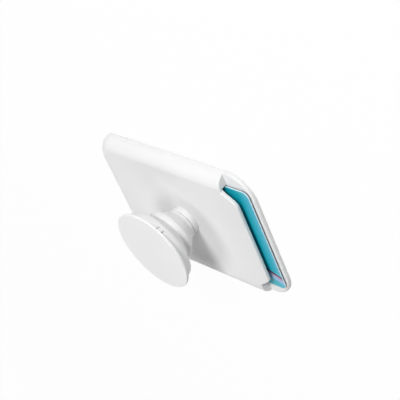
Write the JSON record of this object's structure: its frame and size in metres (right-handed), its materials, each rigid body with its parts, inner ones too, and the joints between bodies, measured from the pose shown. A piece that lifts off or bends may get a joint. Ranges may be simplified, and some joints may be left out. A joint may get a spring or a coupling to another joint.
{
  "type": "phone card holder",
  "caption": "Flat stick-on card holder for the back of a phone, open at one end with a thumb tab, with a pull-out accordion grip that carries a round finger disc.",
  "frame": {"origin": "middle of the adhesive face, which is the lowest face of the part", "axes": "+X along the long side out of the card mouth, +Y along the short side, +Z out of the front along the grip's axis"},
  "size_m": [0.0958, 0.0666, 0.0284],
  "materials": {
    "shell_white": "satin moulded white",
    "plate_white": "satin moulded white",
    "gel_pad": "smooth tacky gel",
    "card_teal": "laminated print",
    "socket_white": "smooth moulded white",
    "neck_white": "soft matte white",
    "carrier_white": "moulded white",
    "ring_white": "satin moulded white",
    "disc_white": "satin moulded white"
  },
  "bodies": {
    "wallet": {"front_shell": "shell_white", "back_plate": "plate_white", "adhesive_pad": "gel_pad", "plastic_card": "card_teal", "socket_ring": "socket_white", "accordion_neck": "neck_white"},
    "grip_carrier": {"bayonet_carrier": "carrier_white"},
    "grip_top": {"top_ring": "ring_white", "top_disc": "disc_white"}
  },
  "joints": [
    {"name": "grip_slide", "type": "slide", "parent": "wallet", "child": "grip_carrier", "axis": [0, 0, 1], "range_m": [-0.015, 0], "deforming": ["accordion_neck"]},
    {"name": "top_turn", "type": "hinge", "parent": "grip_carrier", "child": "grip_top", "pos_m": [0, 0, 0.02565], "axis": [0, 0, 1], "range_deg": [0, 90]}
  ]
}
